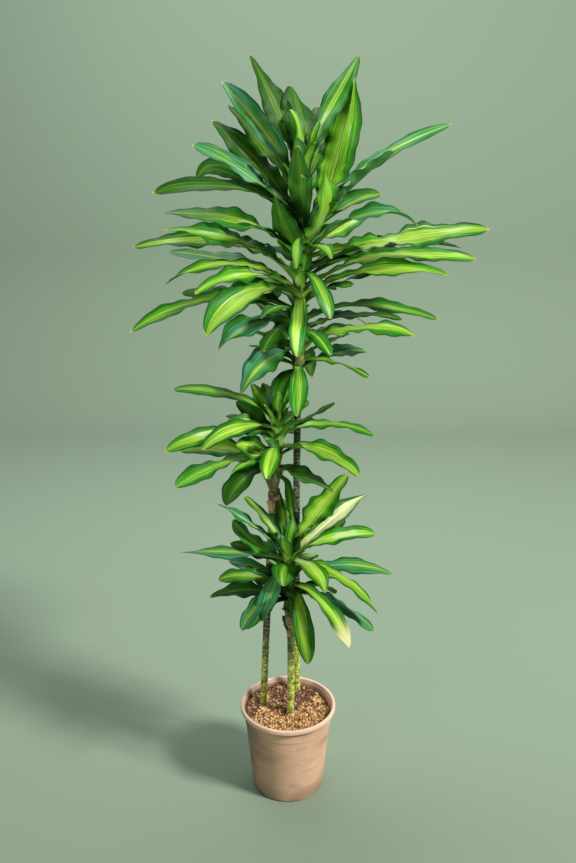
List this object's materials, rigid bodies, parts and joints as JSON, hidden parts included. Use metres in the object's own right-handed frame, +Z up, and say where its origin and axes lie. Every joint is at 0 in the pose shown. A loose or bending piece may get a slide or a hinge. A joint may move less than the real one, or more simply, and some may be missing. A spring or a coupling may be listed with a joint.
{
  "type": "potted corn plant",
  "caption": "Tall corn plant with ringed green canes and tiered crowns of arching, yellow-striped strap leaves, planted in a tan plastic nursery pot.",
  "frame": {"origin": "the middle of the pot's underside, on the surface it stands on", "axes": "+Z up, along the canes; -Y the side that faces the viewer; +X to the right as seen from the front"},
  "size_m": [0.7887, 0.4561, 1.7632],
  "materials": {
    "pot_plastic": "matt tan plastic, moulded, with a paler rolled lip",
    "potting_soil": "dry crumbly potting mix, light tan on top with dark gaps",
    "cane_bark": "smooth green bark crossed by pale leaf scars, darker higher up",
    "leaf": "glossy dark green blade with a streaky lime and yellow band along the middle"
  },
  "bodies": {
    "root": {"pot": "pot_plastic", "soil": "potting_soil", "cane_tall": "cane_bark", "cane_middle": "cane_bark", "cane_low": "cane_bark", "crown_tall": "leaf", "crown_middle": "leaf", "crown_low": "leaf"}
  },
  "joints": []
}
